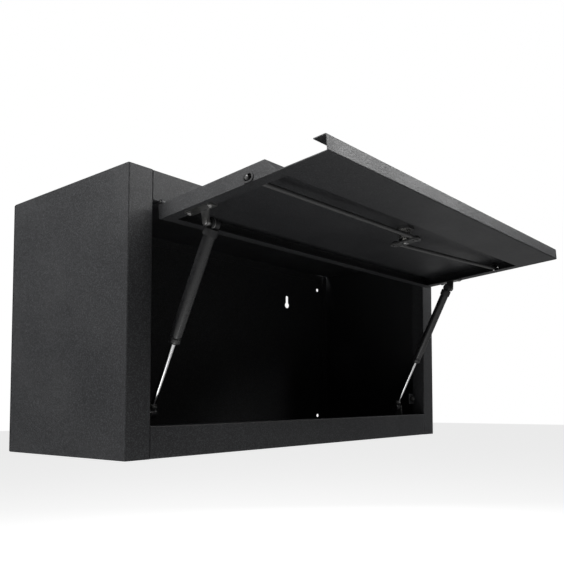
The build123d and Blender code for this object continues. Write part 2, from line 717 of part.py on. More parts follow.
def build_door():
    """Door pan, its two sides and the rod guides."""
    pan = door_pan()
    save("door_pan", opened(pan))
    left = door_side(pan)
    sides = {"left": left, "right": mirror(left, about=LEFT_RIGHT)}
    for sign, name in ((-1, "left"), (1, "right")):
        side = sides[name] - rod_slot(sign, (-CUT, CUT), SLOT_LENGTH, SLOT_WIDTH)
        save(f"door_side_{name}", opened(side))
    save("rod_guide_left", opened(rod_guide(-1)))
    save("rod_guide_right", opened(rod_guide(1)))


os.makedirs("parts", exist_ok=True)
build_cabinet()
build_hinge()
build_door()
build_brackets()
build_strut()
build_lock()
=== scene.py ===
"""Looks of the wall cabinet with a lift-up door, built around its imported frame."""

import json
import math

import bmesh
import bpy
from bpy.props import FloatProperty, FloatVectorProperty, IntProperty, PointerProperty
from mathutils import Matrix, Vector


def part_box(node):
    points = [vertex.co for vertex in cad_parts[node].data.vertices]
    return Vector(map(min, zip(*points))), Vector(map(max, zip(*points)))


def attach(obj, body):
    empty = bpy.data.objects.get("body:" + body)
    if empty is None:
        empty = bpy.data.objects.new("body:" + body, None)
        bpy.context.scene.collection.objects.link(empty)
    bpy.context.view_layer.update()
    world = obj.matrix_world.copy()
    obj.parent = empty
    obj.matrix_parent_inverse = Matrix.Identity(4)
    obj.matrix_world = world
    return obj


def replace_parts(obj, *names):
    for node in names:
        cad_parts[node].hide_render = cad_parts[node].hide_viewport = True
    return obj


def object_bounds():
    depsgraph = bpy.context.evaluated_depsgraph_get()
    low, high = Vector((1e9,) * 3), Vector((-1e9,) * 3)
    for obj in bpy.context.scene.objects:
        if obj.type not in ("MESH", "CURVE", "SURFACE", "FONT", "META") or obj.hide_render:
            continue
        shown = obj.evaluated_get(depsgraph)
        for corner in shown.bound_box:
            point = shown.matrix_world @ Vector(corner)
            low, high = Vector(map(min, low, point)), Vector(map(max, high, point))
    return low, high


bl_info = {
    "name": "Wall cabinet with lift-up door",
    "version": (1, 0, 0),
    "blender": (4, 5, 0),
    "location": "View3D > Sidebar > Cabinet",
    "description": "Finishes, fasteners, hinge and struts of a wall cabinet with a lift-up door",
    "category": "Object",
}

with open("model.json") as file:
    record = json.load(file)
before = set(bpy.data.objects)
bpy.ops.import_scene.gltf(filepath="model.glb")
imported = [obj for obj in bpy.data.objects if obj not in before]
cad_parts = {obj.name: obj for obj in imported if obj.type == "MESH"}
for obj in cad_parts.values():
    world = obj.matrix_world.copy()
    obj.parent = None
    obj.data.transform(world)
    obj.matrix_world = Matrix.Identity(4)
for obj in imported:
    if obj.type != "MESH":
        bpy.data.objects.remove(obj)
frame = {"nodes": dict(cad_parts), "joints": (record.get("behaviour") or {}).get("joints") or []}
CAD_LOW, CAD_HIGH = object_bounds()
JOINTS = {joint["name"]: joint for joint in frame["joints"]}
NODES = frame["nodes"]
MM = 0.001
SIDES = ("left", "right")
MIX_INPUTS = (6, 7)         # colour sockets of a Mix node
MIX_RESULT = 2              # colour output of a Mix node
RANDOM_HIGH = 3             # highest float a Random Value node gives
RANDOM_VALUE = 1            # its float output
KNUCKLES = 25               # knuckles of the hinge, frame's and door's in turn
PIN_CLEARANCE = 0.05 * MM   # between the hinge pin and the knuckles' bore
LEAF_FACE = 0.15 * MM       # from the hinge axis to the near face of each leaf
WELD_INSET = 7.5 * MM       # from the edge of the back panel to its weld marks
WELD_FOOT = 0.02 * MM       # how far a weld mark reaches into its sheet
LOWER_SHANK = 3.0 * MM      # shanks of the screws in the lower brackets
UPPER_SHANK = 3.5 * MM      # and in the upper plates
TUBE_WALL = 1.0 * MM
TUBE_MOUTH = 4.2 * MM       # radius of the hole in the tube's rolled-in end
BARREL_RADIUS = 7.0 * MM    # ball socket that a wire clip hugs
CLIP_OFFSET = 2.6 * MM      # from the ball's centre to the plane of the clip
CLIP_SWEEP = math.radians(250)
CLIP_STEPS = 18
SPIN_SEED = 11              # chance by which the fasteners are turned


# Measures taken from the frame


def points_of(node):
    """Every vertex of a CAD node."""
    return [vertex.co.copy() for vertex in NODES[node].data.vertices]


def middle_of(node):
    """Middle of a CAD node's box."""
    low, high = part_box(node)
    return (low + high) / 2


def merged_copy(node):
    """A bmesh of a CAD node with its loose triangles joined."""
    mesh = bmesh.new()
    mesh.from_mesh(NODES[node].data)
    bmesh.ops.remove_doubles(mesh, verts=mesh.verts, dist=1e-6)
    return mesh


def span_along(node, origin, axis):
    """Lowest and highest place of a node along an axis, and its largest distance from it."""
    places = [(point - origin).dot(axis) for point in points_of(node)]
    away = [(point - origin - axis * place).length for point, place in zip(points_of(node), places)]
    return min(places), max(places), max(away)


def strut_line(side):
    """Lower ball centre and direction of a gas strut."""
    origin = Vector(JOINTS[f"strut_{side}_pivot"]["pos_m"])
    axis = Vector(JOINTS[f"strut_{side}_stroke"]["axis"]).normalized()
    return origin, axis


def turned_to(origin, z_axis, x_axis=Vector((1, 0, 0))):
    """Matrix that lays a shape made along +Z at an origin, along an axis."""
    z_axis = z_axis.normalized()
    y_axis = z_axis.cross(x_axis).normalized()
    x_axis = y_axis.cross(z_axis)
    turn = Matrix((x_axis, y_axis, z_axis)).transposed().to_4x4()
    return Matrix.Translation(origin) @ turn


DOOR_OUT = Vector(JOINTS["lock_turn"]["axis"]).normalized()
DOOR_ACROSS = Vector((1, 0, 0))
DOOR_UP = DOOR_ACROSS.cross(DOOR_OUT).normalized()


# Sizes and colours a user would change


class CabinetCoatSettings(bpy.types.PropertyGroup):
    """Powder coat of the sheet metal."""

    colour: FloatVectorProperty(
        name="Colour", description="Colour of the powder coat", subtype="COLOR",
        size=4, min=0.0, max=1.0, default=(0.021, 0.0215, 0.023, 1.0))
    roughness: FloatProperty(
        name="Roughness", description="How dull the coat is", default=0.5, min=0.0, max=1.0,
        subtype="FACTOR")
    grain: FloatProperty(
        name="Grain", description="Size of one bump of the texture", default=1.5 * MM,
        min=0.1 * MM, max=5 * MM, unit="LENGTH")
    relief: FloatProperty(
        name="Relief", description="Height of the texture", default=0.16 * MM,
        min=0.0, max=0.5 * MM, unit="LENGTH")
    wear: FloatProperty(
        name="Wear", description="How much the folded edges are rubbed", default=0.35,
        min=0.0, max=1.0, subtype="FACTOR")


class CabinetWeldSettings(bpy.types.PropertyGroup):
    """Spot welds that join the panels and the hinge leaves, seen through the coat."""

    mark: FloatProperty(
        name="Mark", description="Diameter of one spot-weld mark", default=5.5 * MM,
        unit="LENGTH")
    relief: FloatProperty(
        name="Relief", description="Height of the raised rim round a mark", default=0.14 * MM,
        unit="LENGTH")
    pitch: FloatProperty(
        name="Pitch", description="Largest distance between two marks", default=62 * MM,
        unit="LENGTH")


class CabinetScrewSettings(bpy.types.PropertyGroup):
    """Cross-recessed screws of the strut brackets."""

    head: FloatProperty(
        name="Head", description="Head diameter", default=6.8 * MM, unit="LENGTH")
    height: FloatProperty(
        name="Height", description="Head height", default=1.9 * MM, unit="LENGTH")
    shank: FloatProperty(
        name="Shank", description="Shank diameter", default=4.0 * MM, unit="LENGTH")


class CabinetHingeSettings(bpy.types.PropertyGroup):
    """Rolled knuckles of the continuous hinge."""

    leaf: FloatProperty(
        name="Leaf thickness", description="Thickness of both leaves", default=1.2 * MM,
        unit="LENGTH")
    slit: FloatProperty(
        name="Slit", description="Gap where the rolled strip meets its own leaf",
        default=0.3 * MM, unit="LENGTH")
    knuckle_gap: FloatProperty(
        name="Knuckle gap", description="Space between neighbouring knuckles",
        default=0.6 * MM, unit="LENGTH")


class CabinetStrutSettings(bpy.types.PropertyGroup):
    """Gas struts."""

    groove_depth: FloatProperty(
        name="Groove depth", description="Depth of the rolled groove that holds the guide",
        default=0.7 * MM, unit="LENGTH")
    groove_place: FloatProperty(
        name="Groove place", description="Distance of the groove from the rod end",
        default=9.0 * MM, unit="LENGTH")
    wire: FloatProperty(
        name="Clip wire", description="Diameter of the retaining wires", default=0.9 * MM,
        unit="LENGTH")


class CabinetStageSettings(bpy.types.PropertyGroup):
    """Camera, light and floor."""

    eye: FloatVectorProperty(
        name="Eye", description="Place of the camera", subtype="XYZ", unit="LENGTH",
        default=(-0.7671, -0.9511, -0.1065))
    yaw: FloatProperty(
        name="Yaw", description="Turn of the camera from +Y towards +X", subtype="ANGLE",
        default=math.radians(54.134))
    pitch: FloatProperty(
        name="Pitch", description="Tilt of the camera above the horizon", subtype="ANGLE",
        default=math.radians(3.018))
    roll: FloatProperty(
        name="Roll", description="Roll of the camera", subtype="ANGLE",
        default=math.radians(-0.437))
    lens: FloatProperty(
        name="Lens", description="Focal length on a 36 mm sensor", default=40.945)
    shift_x: FloatProperty(name="Shift X", description="Sideways shift", default=-0.1738)
    shift_y: FloatProperty(name="Shift Y", description="Upward shift", default=0.1489)
    floor_drop: FloatProperty(
        name="Floor drop", description="Height of the cabinet's underside above the floor",
        default=0.55, unit="LENGTH")
    floor_colour: FloatVectorProperty(
        name="Floor colour", description="Colour of the floor", subtype="COLOR", size=4,
        min=0.0, max=1.0, default=(0.42, 0.42, 0.42, 1.0))
    floor_glow: FloatProperty(
        name="Floor glow", description="How much the floor is brightened where it is seen",
        default=0.78, min=0.0, max=2.0)
    key_power: FloatProperty(
        name="Key power", description="Power of the high soft light behind the left side",
        default=112.0, unit="POWER")
    over_power: FloatProperty(
        name="Overhead power", description="Power of the soft light over the open door",
        default=11.0, unit="POWER")
    under_power: FloatProperty(
        name="Under power", description="Power of the light under the door's left half",
        default=1.2, unit="POWER")
    edge_power: FloatProperty(
        name="Edge power", description="Power of the light that catches the door's free edge",
        default=8.5, unit="POWER")
    fill_power: FloatProperty(
        name="Fill power", description="Power of the fill behind the right side", default=22.0,
        unit="POWER")
    sky: FloatProperty(
        name="Sky", description="Light that the white surroundings give", default=0.09)


class CabinetSettings(bpy.types.PropertyGroup):
    """Everything in one place on the scene."""

    coat: PointerProperty(type=CabinetCoatSettings)
    welds: PointerProperty(type=CabinetWeldSettings)
    screws: PointerProperty(type=CabinetScrewSettings)
    hinge: PointerProperty(type=CabinetHingeSettings)
    struts: PointerProperty(type=CabinetStrutSettings)
    stage: PointerProperty(type=CabinetStageSettings)


# Finishes


def wire(tree, *routes):
    """Link sockets of a node tree, each route as (source, output, target, input)."""
    for source, output, target, socket in routes:
        tree.links.new(source.outputs[output], target.inputs[socket])


class Finish:
    """A material under construction: short calls that add and join its nodes."""

    def __init__(self, name):
        self.material = bpy.data.materials.new(name)
        self.material.use_nodes = True
        self.tree = self.material.node_tree
        self.tree.nodes.clear()
        self.output = self.node("ShaderNodeOutputMaterial")
        self.shader = self.node("ShaderNodeBsdfPrincipled")
        self.join(self.shader, "BSDF", self.output, "Surface")
        self.coordinates = self.node("ShaderNodeTexCoord")

    def node(self, kind, **settings):
        made = self.tree.nodes.new(kind)
        for key, value in settings.items():
            setattr(made, key, value)
        return made

    def join(self, source, output, target, socket):
        wire(self.tree, (source, output, target, socket))

    def surface(self, **values):
        """Numbers and colours that are the same all over."""
        for key, value in values.items():
            self.shader.inputs[key.replace("_", " ").title().replace("Ior", "IOR")].default_value = value

    def placed(self, place=(0, 0, 0), turn=(0, 0, 0), stretch=(1, 1, 1)):
        """Object coordinates, centred, turned and stretched."""
        mapping = self.node("ShaderNodeMapping", vector_type="TEXTURE")
        mapping.inputs["Location"].default_value = place
        mapping.inputs["Rotation"].default_value = turn
        mapping.inputs["Scale"].default_value = stretch
        self.join(self.coordinates, "Object", mapping, "Vector")
        return mapping

    def noise(self, size, detail=3.0, rough=0.5, source=None):
        """Noise whose features are about as large as size, in metres."""
        made = self.node("ShaderNodeTexNoise")
        made.inputs["Scale"].default_value = 1.0 / size
        made.inputs["Detail"].default_value = detail
        made.inputs["Roughness"].default_value = rough
        self.join(source or self.coordinates, "Vector" if source else "Object", made, "Vector")
        return made

    def ramp(self, source, output, stops):
        """Colour ramp over (place, colour) stops."""
        made = self.node("ShaderNodeValToRGB")
        while len(made.color_ramp.elements) < len(stops):
            made.color_ramp.elements.new(0.5)
        for element, (place, colour) in zip(made.color_ramp.elements, stops):
            element.position = place
            element.color = colour if len(colour) == 4 else (*colour, 1.0)
        self.join(source, output, made, "Fac")
        return made

    def scaled(self, source, output, low, high, start=0.0, end=1.0):
        """Map a value from start..end to low..high."""
        made = self.node("ShaderNodeMapRange")
        made.inputs["From Min"].default_value = start
        made.inputs["From Max"].default_value = end
        made.inputs["To Min"].default_value = low
        made.inputs["To Max"].default_value = high
        self.join(source, output, made, "Value")
        return made

    def mixed(self, factor, factor_output, first, second):
        """Mix two colours; each is a colour or a (node, output) pair."""
        made = self.node("ShaderNodeMix", data_type="RGBA")
        self.join(factor, factor_output, made, "Factor")
        for socket, value in zip(MIX_INPUTS, (first, second)):
            if isinstance(value[0], bpy.types.Node):
                self.join(*value, made, socket)
            else:
                made.inputs[socket].default_value = value if len(value) == 4 else (*value, 1.0)
        return made

    def times(self, first, first_output, second, second_output):
        """Product of two values."""
        made = self.node("ShaderNodeMath", operation="MULTIPLY")
        self.join(first, first_output, made, 0)
        self.join(second, second_output, made, 1)
        return made

    def bump(self, source, output, height, strength=1.0, under=None):
        """Relief of the given height in metres."""
        made = self.node("ShaderNodeBump")
        made.inputs["Strength"].default_value = strength
        made.inputs["Distance"].default_value = height
        self.join(source, output, made, "Height")
        if under:
            self.join(under, "Normal", made, "Normal")
        return made

    def complete(self, colour, colour_output, gloss, relief):
        """Join colour, roughness and relief to the shader and hand over the material."""
        for source, output, socket in ((colour, colour_output, "Base Color"),
                                       (gloss, "Result", "Roughness"),
                                       (relief, "Normal", "Normal")):
            self.join(source, output, self.shader, socket)
        return self.material

    def edges(self, radius):
        """1 near sharp edges, 0 elsewhere."""
        rounded = self.node("ShaderNodeBevel", samples=4)
        rounded.inputs["Radius"].default_value = radius
        plain = self.node("ShaderNodeNewGeometry")
        angle = self.node("ShaderNodeVectorMath", operation="DOT_PRODUCT")
        self.join(rounded, "Normal", angle, 0)
        self.join(plain, "Normal", angle, 1)
        return self.scaled(angle, "Value", 1.0, 0.0, 0.72, 0.985)


def powder_coat(name, coat, colour, roughness):
    """Fine-textured powder coat, a little dusty, rubbed along the folded edges."""
    finish = Finish(name)
    finish.surface(roughness=roughness, ior=1.5, specular_ior_level=0.42)
    grain = finish.noise(coat.grain, 2.0, 0.6)
    fine = finish.noise(coat.grain * 0.35, 1.0, 0.5)
    cloud = finish.noise(0.09, 4.0, 0.6)
    light = tuple(min(1.0, c * 2.1) for c in colour[:3])
    dark = tuple(c * 0.62 for c in colour[:3])
    speckle = finish.ramp(grain, "Fac", ((0.38, dark), (0.52, colour[:3]), (0.66, light)))
    dust = finish.mixed(finish.scaled(cloud, "Fac", 0.0, 0.16, 0.45, 0.8), "Result",
                        (speckle, "Color"), tuple(c * 0.5 + 0.03 for c in colour[:3]))
    rub = finish.noise(0.012, 5.0, 0.7)
    worn = finish.times(finish.edges(0.9 * MM), "Result",
                        finish.scaled(rub, "Fac", 0.0, coat.wear, 0.38, 0.72), "Result")
    painted = finish.mixed(worn, "Value", (dust, MIX_RESULT), (0.16, 0.16, 0.165))
    gloss = finish.scaled(cloud, "Fac", roughness - 0.06, roughness + 0.07, 0.3, 0.75)
    coarse = finish.bump(grain, "Fac", coat.relief, 0.8)
    top = finish.bump(fine, "Fac", coat.relief * 0.4, 0.6, coarse)
    return finish.complete(painted, MIX_RESULT, gloss, top)


def zinc_plate():
    """Bright zinc plate with faint spangle, rolling marks and dull patches."""
    finish = Finish("bright_zinc")
    finish.surface(metallic=1.0, ior=1.5)
    cells = finish.node("ShaderNodeTexVoronoi")
    cells.inputs["Scale"].default_value = 1.0 / (1.6 * MM)
    finish.join(finish.coordinates, "Object", cells, "Vector")
    cloud = finish.noise(9 * MM, 5.0, 0.65)
    lines = finish.noise(0.4 * MM, 2.0, 0.5, finish.placed(stretch=(14, 1, 1)))
    base = finish.ramp(cloud, "Fac", ((0.3, (0.22, 0.22, 0.22)), (0.55, (0.32, 0.32, 0.315)),
                                      (0.75, (0.40, 0.395, 0.38))))
    spangle = finish.mixed(finish.scaled(cells, "Distance", 0.0, 0.12), "Result",
                           (base, "Color"), (0.20, 0.205, 0.215))
    gloss = finish.scaled(cloud, "Fac", 0.32, 0.52, 0.3, 0.75)
    relief = finish.bump(lines, "Fac", 0.012 * MM, 0.5)
    return finish.complete(spangle, MIX_RESULT, gloss, relief)


def black_zinc_plate():
    """Black zinc on the lock's cam and rods, cloudy, rubbed to grey along its edges."""
    finish = Finish("black_zinc")
    finish.surface(metallic=0.7, ior=1.5)
    cloud = finish.noise(6 * MM, 5.0, 0.65)
    lines = finish.noise(0.5 * MM, 2.0, 0.5, finish.placed(stretch=(16, 1, 1)))
    base = finish.ramp(cloud, "Fac", ((0.30, (0.040, 0.040, 0.043)), (0.55, (0.075, 0.075, 0.078)),
                                      (0.80, (0.130, 0.130, 0.130))))
    worn = finish.scaled(finish.edges(0.5 * MM), "Result", 0.0, 0.5)
    rubbed = finish.mixed(worn, "Result", (base, "Color"), (0.30, 0.30, 0.30))
    gloss = finish.scaled(cloud, "Fac", 0.30, 0.50, 0.3, 0.75)
    relief = finish.bump(lines, "Fac", 0.010 * MM, 0.5)
    return finish.complete(rubbed, MIX_RESULT, gloss, relief)


def ground_chrome(name, place, tilt):
    """Hard-chromed rod with fine rings from grinding."""
    finish = Finish(name)
    finish.surface(metallic=1.0, ior=1.5)
    turned = finish.placed(place, (tilt, 0, 0), (30, 30, 1))
    rings = finish.noise(0.35 * MM, 2.0, 0.6, turned)
    haze = finish.noise(14 * MM, 3.0, 0.5)
    base = finish.ramp(haze, "Fac", ((0.35, (0.70, 0.70, 0.71)), (0.7, (0.84, 0.84, 0.84))))
    gloss = finish.scaled(haze, "Fac", 0.07, 0.17, 0.3, 0.7)
    relief = finish.bump(rings, "Fac", 0.004 * MM, 0.5)
    return finish.complete(base, "Color", gloss, relief)


def tube_paint():
    """Semi-gloss black paint on the strut tubes, with orange peel and light scuffs."""
    finish = Finish("strut_tube_paint")
    finish.surface(ior=1.5, coat_weight=0.25, coat_roughness=0.18)
    peel = finish.noise(1.6 * MM, 2.0, 0.5)
    scuff = finish.noise(5 * MM, 6.0, 0.75)
    base = finish.ramp(scuff, "Fac", ((0.30, (0.010, 0.010, 0.011)), (0.62, (0.017, 0.017, 0.018)),
                                      (0.80, (0.034, 0.034, 0.035))))
    gloss = finish.scaled(scuff, "Fac", 0.22, 0.42, 0.3, 0.8)
    relief = finish.bump(peel, "Fac", 0.02 * MM, 0.6)
    return finish.complete(base, "Color", gloss, relief)


def moulded_plastic():
    """Black glass-filled nylon with a fine eroded skin."""
    finish = Finish("moulded_nylon")
    finish.surface(ior=1.48, specular_ior_level=0.4)
    skin = finish.noise(0.5 * MM, 3.0, 0.6)
    flow = finish.noise(7 * MM, 4.0, 0.6)
    base = finish.ramp(flow, "Fac", ((0.3, (0.014, 0.014, 0.015)), (0.7, (0.028, 0.028, 0.029))))
    gloss = finish.scaled(flow, "Fac", 0.42, 0.62, 0.3, 0.7)
    relief = finish.bump(skin, "Fac", 0.03 * MM, 0.7)
    return finish.complete(base, "Color", gloss, relief)


def soft_rubber():
    """Matt black rubber with a dusty bloom."""
    finish = Finish("bumper_rubber")
    finish.surface(ior=1.45, specular_ior_level=0.25)
    bloom = finish.noise(3 * MM, 4.0, 0.7)
    pores = finish.noise(0.35 * MM, 2.0, 0.6)
    base = finish.ramp(bloom, "Fac", ((0.35, (0.012, 0.012, 0.012)), (0.75, (0.05, 0.05, 0.048))))
    gloss = finish.scaled(bloom, "Fac", 0.7, 0.92, 0.3, 0.7)
    relief = finish.bump(pores, "Fac", 0.04 * MM, 0.7)
    return finish.complete(base, "Color", gloss, relief)


def turned_nickel():
    """Nickel-plated lock face with concentric turning marks."""
    finish = Finish("lock_nickel")
    finish.surface(metallic=1.0, ior=1.5)
    centre = Vector(JOINTS["lock_turn"]["pos_m"])
    placed = finish.placed(centre, (math.radians(90) - math.atan2(DOOR_OUT.z, DOOR_OUT.y), 0, 0))
    rings = finish.node("ShaderNodeTexWave", wave_type="RINGS", rings_direction="Z")
    rings.inputs["Scale"].default_value = 1.0 / (1.2 * MM)
    rings.inputs["Distortion"].default_value = 0.6
    finish.join(placed, "Vector", rings, "Vector")
    haze = finish.noise(4 * MM, 4.0, 0.6)
    base = finish.ramp(haze, "Fac", ((0.3, (0.58, 0.57, 0.54)), (0.7, (0.74, 0.73, 0.70))))
    gloss = finish.scaled(haze, "Fac", 0.16, 0.32, 0.3, 0.7)
    relief = finish.bump(rings, "Fac", 0.006 * MM, 0.4)
    return finish.complete(base, "Color", gloss, relief)


def finish_named(name, make, *values):
    """The material of that name, made the first time it is asked for."""
    found = bpy.data.materials.get(name)
    return found or make(*values)


def zinc():
    return finish_named("bright_zinc", zinc_plate)


def black_zinc():
    return finish_named("black_zinc", black_zinc_plate)


def nylon():
    return finish_named("moulded_nylon", moulded_plastic)


def coat(settings):
    values = settings.coat
    return finish_named("textured_black", powder_coat, "textured_black", values,
                        tuple(values.colour), values.roughness)


def paint(node, material):
    """Give a CAD node a finish."""
    slots = NODES[node].material_slots
    if not slots:
        NODES[node].data.materials.append(material)
    for slot in slots:
        slot.link = "OBJECT"
        slot.material = material


# Shapes


def link(name, mesh, material=None):
    """Put a mesh in the scene as an object at the origin."""
    made = bpy.data.objects.new(name, mesh)
    bpy.context.scene.collection.objects.link(made)
    if material:
        mesh.materials.clear()
        mesh.materials.append(material)
    return made


def to_mesh(name, shape, smooth_angle=40):
    """Turn a bmesh into a mesh with outward faces, smooth except at sharp edges."""
    bmesh.ops.recalc_face_normals(shape, faces=shape.faces)
    limit = math.radians(smooth_angle)
    for face in shape.faces:
        face.smooth = True
    for edge in shape.edges:
        edge.smooth = not (edge.is_manifold and edge.calc_face_angle(0.0) > limit)
    mesh = bpy.data.meshes.new(name)
    shape.to_mesh(mesh)
    shape.free()
    return mesh


def lathe(profile, facets, closed=False):
    """Turn (radius, height) points about Z. Points at radius 0 become one vertex."""
    shape = bmesh.new()
    rings = []
    for radius, height in profile:
        if radius < 1e-7:
            rings.append([shape.verts.new((0, 0, height))] * facets)
            continue
        angles = [2 * math.pi * i / facets for i in range(facets)]
        rings.append([shape.verts.new((radius * math.cos(a), radius * math.sin(a), height))
                      for a in angles])
    pairs = list(zip(rings, rings[1:]))
    if closed:
        pairs.append((rings[-1], rings[0]))
    for low, high in pairs:
        for i in range(facets):
            j = (i + 1) % facets
            corners = []
            for vertex in (low[i], low[j], high[j], high[i]):
                if vertex not in corners:
                    corners.append(vertex)
            if len(corners) > 2:
                shape.faces.new(corners)
    return shape


def rounded(profile_points, radius, steps=4):
    """Replace each inner corner of a profile by a short arc."""
    points = [Vector(point) for point in profile_points]
    result = [tuple(points[0])]
    for before, corner, after in zip(points, points[1:], points[2:]):
        back, on = before - corner, after - corner
        reach = min(radius, back.length * 0.45, on.length * 0.45)
        start, end = corner + back.normalized() * reach, corner + on.normalized() * reach
        for i in range(steps + 1):
            t = i / steps
            point = start * (1 - t) ** 2 + corner * 2 * t * (1 - t) + end * t ** 2
            result.append(tuple(point))
    result.append(tuple(points[-1]))
    return result


def add_shape(target, source, matrix=Matrix.Identity(4)):
    """Copy a bmesh into another one, placed by a matrix, and free it."""
    copies = {vertex: target.verts.new(matrix @ vertex.co) for vertex in source.verts}
    for face in source.faces:
        target.faces.new([copies[vertex] for vertex in face.verts])
    source.free()


def cut(base, cutter):
    """Mesh of the base with the cutter taken away; both are temporary objects."""
    modifier = base.modifiers.new("Cut", "BOOLEAN")
    modifier.operation = "DIFFERENCE"
    modifier.solver = "EXACT"
    modifier.object = cutter
    graph = bpy.context.evaluated_depsgraph_get()
    mesh = bpy.data.meshes.new_from_object(base.evaluated_get(graph))
    for used in (base, cutter):
        bpy.data.objects.remove(used)
    return mesh


def box_shape(size, centre, taper=1.0):
    """Box as a bmesh; its lower end is scaled by taper."""
    shape = bmesh.new()
    bmesh.ops.create_cube(shape, size=1.0)
    for vertex in shape.verts:
        factor = taper if vertex.co.z < 0 else 1.0
        x, y, z = vertex.co
        vertex.co = Vector((x * size[0] * factor, y * size[1] * factor, z * size[2])) + centre
    return shape


def bent_wire(name, points, diameter, material):
    """Round wire through points, as a plain mesh."""
    curve = bpy.data.curves.new(name, "CURVE")
    curve.dimensions = "3D"
    curve.bevel_depth = diameter / 2
    curve.bevel_resolution = 3
    curve.use_fill_caps = True
    spline = curve.splines.new("NURBS")
    spline.points.add(len(points) - 1)
    for target, point in zip(spline.points, points):
        target.co = (*point, 1.0)
    spline.order_u = 3
    spline.use_endpoint_u = True
    spline.resolution_u = 6
    holder = link(name + "_wire", curve)
    graph = bpy.context.evaluated_depsgraph_get()
    mesh = bpy.data.meshes.new_from_object(holder.evaluated_get(graph))
    bpy.data.objects.remove(holder)
    for polygon in mesh.polygons:
        polygon.use_smooth = True
    return link(name, mesh, material)


# Geometry Nodes


def new_tree(name, inputs):
    """Geometry tree with named inputs, given as (name, socket type, default) triples."""
    tree = bpy.data.node_groups.new(name, "GeometryNodeTree")
    tree.is_modifier = True
    tree.interface.new_socket("Geometry", in_out="INPUT", socket_type="NodeSocketGeometry")
    for label, kind, default in inputs:
        socket = tree.interface.new_socket(label, in_out="INPUT", socket_type=kind)
        if default is not None:
            socket.default_value = default
    tree.interface.new_socket("Geometry", in_out="OUTPUT", socket_type="NodeSocketGeometry")
    return tree, tree.nodes.new("NodeGroupInput"), tree.nodes.new("NodeGroupOutput")


def finish_tree(tree, given, result, last, output):
    """End a tree in Realize Instances and Set Material."""
    real = tree.nodes.new("GeometryNodeRealizeInstances")
    painted = tree.nodes.new("GeometryNodeSetMaterial")
    wire(tree, (last, output, real, "Geometry"), (real, "Geometry", painted, "Geometry"),
         (given, "Finish", painted, "Material"), (painted, "Geometry", result, "Geometry"))


def fastener_tree():
    """One fastener on every point, facing one way, each turned by chance about itself."""
    name = "Fasteners on points"
    if name in bpy.data.node_groups:
        return bpy.data.node_groups[name]
    tree, given, result = new_tree(name, (
        ("Fastener", "NodeSocketObject", None), ("Facing", "NodeSocketVector", (0, 0, 1)),
        ("Spin", "NodeSocketFloat", math.pi), ("Seed", "NodeSocketInt", 7),
        ("Finish", "NodeSocketMaterial", None)))
    shape = tree.nodes.new("GeometryNodeObjectInfo")
    facing = tree.nodes.new("FunctionNodeAlignRotationToVector")
    facing.axis = "Z"
    chance = tree.nodes.new("FunctionNodeRandomValue")
    spin = tree.nodes.new("ShaderNodeCombineXYZ")
    placed = tree.nodes.new("GeometryNodeInstanceOnPoints")
    turned = tree.nodes.new("GeometryNodeRotateInstances")
    wire(tree, (given, "Fastener", shape, "Object"), (given, "Facing", facing, "Vector"),
         (given, "Geometry", placed, "Points"), (shape, "Geometry", placed, "Instance"),
         (facing, "Rotation", placed, "Rotation"), (given, "Seed", chance, "Seed"),
         (given, "Spin", chance, RANDOM_HIGH), (chance, RANDOM_VALUE, spin, "Z"),
         (placed, "Instances", turned, "Instances"), (spin, "Vector", turned, "Rotation"))
    finish_tree(tree, given, result, turned, "Instances")
    return tree


def row_tree():
    """A row of equal pieces, evenly spaced."""
    name = "Row of knuckles"
    if name in bpy.data.node_groups:
        return bpy.data.node_groups[name]
    tree, given, result = new_tree(name, (
        ("Piece", "NodeSocketObject", None), ("Count", "NodeSocketInt", 12),
        ("Start", "NodeSocketVector", (0, 0, 0)), ("Step", "NodeSocketVector", (1, 0, 0)),
        ("Finish", "NodeSocketMaterial", None)))
    line = tree.nodes.new("GeometryNodeMeshLine")
    shape = tree.nodes.new("GeometryNodeObjectInfo")
    placed = tree.nodes.new("GeometryNodeInstanceOnPoints")
    both = tree.nodes.new("GeometryNodeJoinGeometry")
    wire(tree, (given, "Count", line, "Count"), (given, "Start", line, "Start Location"),
         (given, "Step", line, "Offset"), (given, "Piece", shape, "Object"),
         (line, "Mesh", placed, "Points"), (shape, "Geometry", placed, "Instance"),
         (placed, "Instances", both, "Geometry"), (given, "Geometry", both, "Geometry"))
    finish_tree(tree, given, result, both, "Geometry")
    return tree


def grow(name, host_mesh, tree, **values):
    """Run a tree on a host mesh and keep the result as a plain mesh object."""
    host = link(name + "_host", host_mesh)
    modifier = host.modifiers.new("Grow", "NODES")
    modifier.node_group = tree
    for item in tree.interface.items_tree:
        if item.in_out == "INPUT" and item.name in values:
            modifier[item.identifier] = values[item.name]
    graph = bpy.context.evaluated_depsgraph_get()
    mesh = bpy.data.meshes.new_from_object(host.evaluated_get(graph))
    host.modifiers.remove(modifier)
    bpy.data.objects.remove(host)
    if not mesh.polygons:
        raise RuntimeError(f"{name} came out empty")
    return link(name, mesh)


def scatter(name, places, facing, shape_mesh, material, body, spin=math.pi):
    """One copy of a shape on every place, facing one way, as one piece on a body."""
    host = bpy.data.meshes.new(name + "_places")
    host.from_pydata(places, [], [])
    source = link(name + "_one", shape_mesh)
    piece = grow(name, host, fastener_tree(), Fastener=source, Facing=facing.normalized(),
                 Spin=spin, Seed=SPIN_SEED, Finish=material)
    bpy.data.objects.remove(source)
    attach(piece, body)
    return piece


def drive_screws(name, node, facing, values, shank_length, body):
    """Replace a CAD node of screws by cross-recessed ones on the same places."""
    facing = facing.normalized()
    screw = cross_screw(values.head / 2, values.height, values.shank / 2, shank_length)
    places = points_by_island(node, facing, values.height)
    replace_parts(scatter(name, places, facing, screw, zinc(), body), node)


